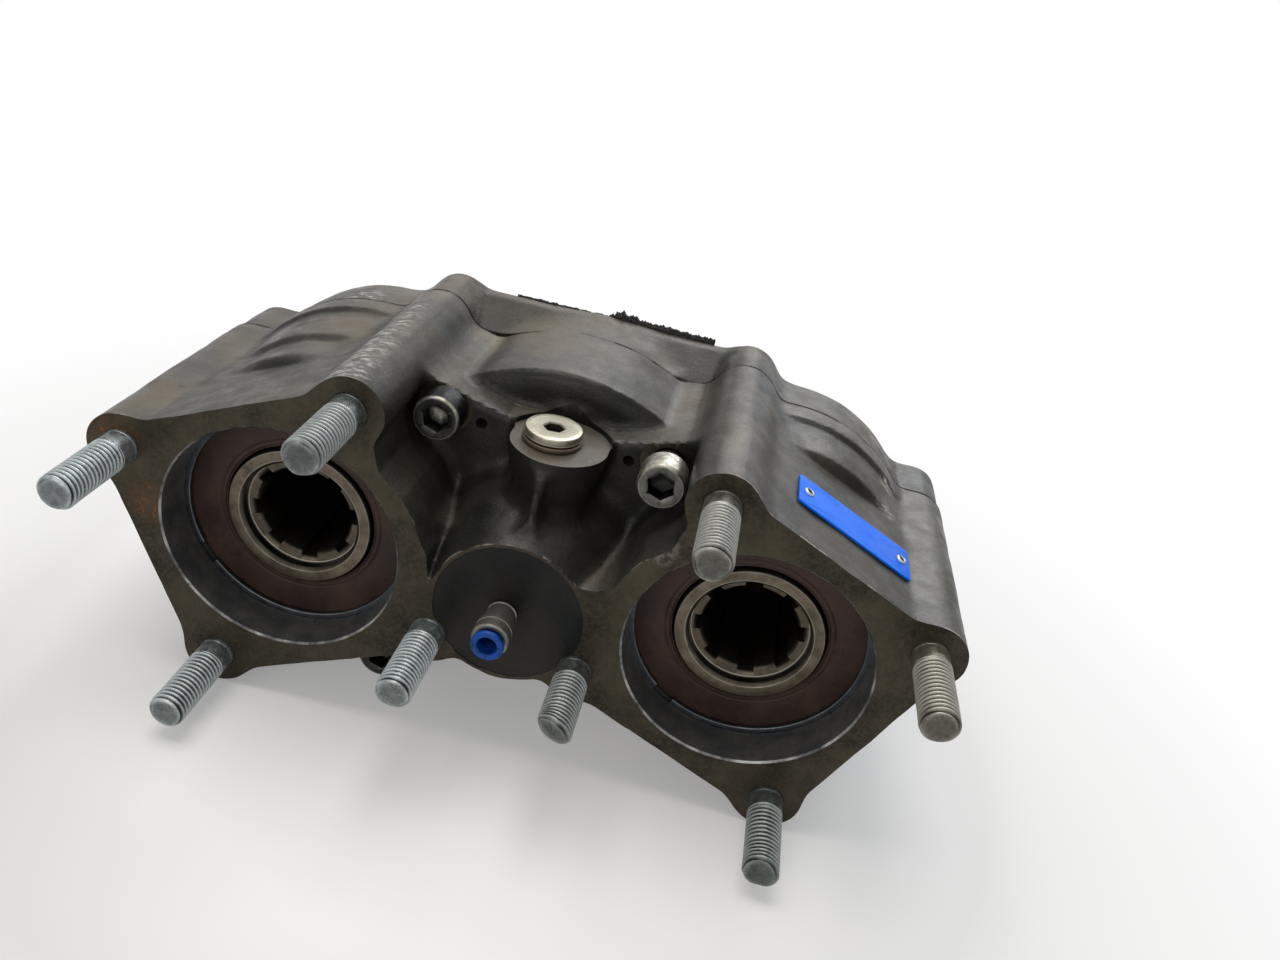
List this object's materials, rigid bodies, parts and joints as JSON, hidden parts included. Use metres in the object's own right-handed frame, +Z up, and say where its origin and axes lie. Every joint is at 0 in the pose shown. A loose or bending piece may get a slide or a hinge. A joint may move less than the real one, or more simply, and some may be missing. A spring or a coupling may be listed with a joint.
{
  "type": "power take-off unit",
  "caption": "Twin-output power take-off: cast gear housing with two angled pump flanges, studs, internally splined shafts and an air actuator between them.",
  "frame": {"origin": "centre of the bounding box's footprint, on the plane of its lowest point", "axes": "+X to the right along the line through both output axes, +Y from the pump side to the gearbox side along the shafts, +Z up"},
  "size_m": [0.2836, 0.1627, 0.128],
  "materials": {
    "cast_grey": "rough casting with grey paint, oily machined faces",
    "cover_grey": "rough casting with grey paint",
    "zinc": "dull zinc plate",
    "steel": "oily machined steel",
    "screw_steel": "dark worn screw steel",
    "bearing_steel": "ground bearing steel",
    "seal_rubber": "red-brown seal rubber under oil",
    "black_rubber": "black rubber",
    "plug_brass": "pale turned plug, slightly yellow",
    "plate_blue": "blue printed aluminium",
    "collet_blue": "blue plastic",
    "spring_steel": "spring wire",
    "sealant": "black sealant and gasket residue"
  },
  "bodies": {
    "housing": {"front_housing": "cast_grey", "rear_cover": "cover_grey", "stud_right_inner_high": "zinc", "stud_right_outer_high": "zinc", "stud_right_outer_low": "zinc", "stud_right_inner_low": "zinc", "stud_left_inner_high": "zinc", "stud_left_outer_high": "zinc", "stud_left_outer_low": "zinc", "stud_left_inner_low": "zinc", "mounting_screw_upper_left": "screw_steel", "mounting_screw_upper_right": "screw_steel", "mounting_screw_lower_left": "screw_steel", "mounting_screw_lower_right": "screw_steel", "cover_screw_right_inner_high": "screw_steel", "cover_screw_right_outer_high": "screw_steel", "cover_screw_right_outer_low": "screw_steel", "cover_screw_left_inner_high": "screw_steel", "cover_screw_left_outer_high": "screw_steel", "cover_screw_left_outer_low": "screw_steel", "plug_washer": "steel", "port_plug": "plug_brass", "air_fitting": "zinc", "right_front_bearing_outer_ring": "bearing_steel", "right_rear_bearing_outer_ring": "bearing_steel", "left_front_bearing_outer_ring": "bearing_steel", "left_rear_bearing_outer_ring": "bearing_steel", "drive_front_bearing_outer_ring": "bearing_steel", "drive_rear_bearing_outer_ring": "bearing_steel", "rod_guide": "steel", "return_spring": "spring_steel", "shaft_seal_right": "seal_rubber", "shaft_seal_left": "seal_rubber", "seal_ring_right": "steel", "seal_ring_left": "steel", "name_plate": "plate_blue", "plate_rivet_inner": "zinc", "plate_rivet_outer": "zinc", "gasket_remnant": "sealant"},
    "drive_shaft": {"drive_gear": "steel", "drive_front_bearing_inner_ring": "bearing_steel", "drive_rear_bearing_inner_ring": "bearing_steel"},
    "output_shaft_right": {"output_gear_right": "steel", "right_front_bearing_inner_ring": "bearing_steel", "right_rear_bearing_inner_ring": "bearing_steel"},
    "output_shaft_left": {"output_gear_left": "steel", "left_front_bearing_inner_ring": "bearing_steel", "left_rear_bearing_inner_ring": "bearing_steel"},
    "actuator_piston": {"piston": "steel", "piston_seal": "black_rubber"},
    "sleeve": {"engagement_sleeve": "steel"},
    "collet": {"fitting_collet": "collet_blue"}
  },
  "joints": [
    {"name": "drive_spin", "type": "hinge", "parent": "housing", "child": "drive_shaft", "pos_m": [0, 0.01835, 0.05911], "axis": [0, -1, 0], "continuous": true},
    {"name": "output_spin_right", "type": "hinge", "parent": "housing", "child": "output_shaft_right", "pos_m": [0.07784, 0.01835, 0.06411], "axis": [0, -1, 0], "continuous": true},
    {"name": "output_spin_left", "type": "hinge", "parent": "housing", "child": "output_shaft_left", "pos_m": [-0.07784, 0.01835, 0.06411], "axis": [0, -1, 0], "continuous": true},
    {"name": "piston_slide", "type": "slide", "parent": "housing", "child": "actuator_piston", "axis": [0, 1, 0], "range_m": [0, 0.008], "stiffness_N_per_m": 4000, "springref_m": -0.004, "deforming": ["return_spring"]},
    {"name": "sleeve_slide", "type": "slide", "parent": "drive_shaft", "child": "sleeve", "axis": [0, 1, 0], "range_m": [0, 0.008]},
    {"name": "collet_press", "type": "slide", "parent": "housing", "child": "collet", "axis": [0, 1, 0], "range_m": [0, 0.0012], "stiffness_N_per_m": 2000, "springref_m": -0.001}
  ],
  "couplings": [
    {"joint": "output_spin_right", "follows": "drive_spin", "ratio": -1.1667},
    {"joint": "output_spin_left", "follows": "drive_spin", "ratio": -1.1667},
    {"joint": "sleeve_slide", "follows": "piston_slide", "ratio": 1}
  ]
}
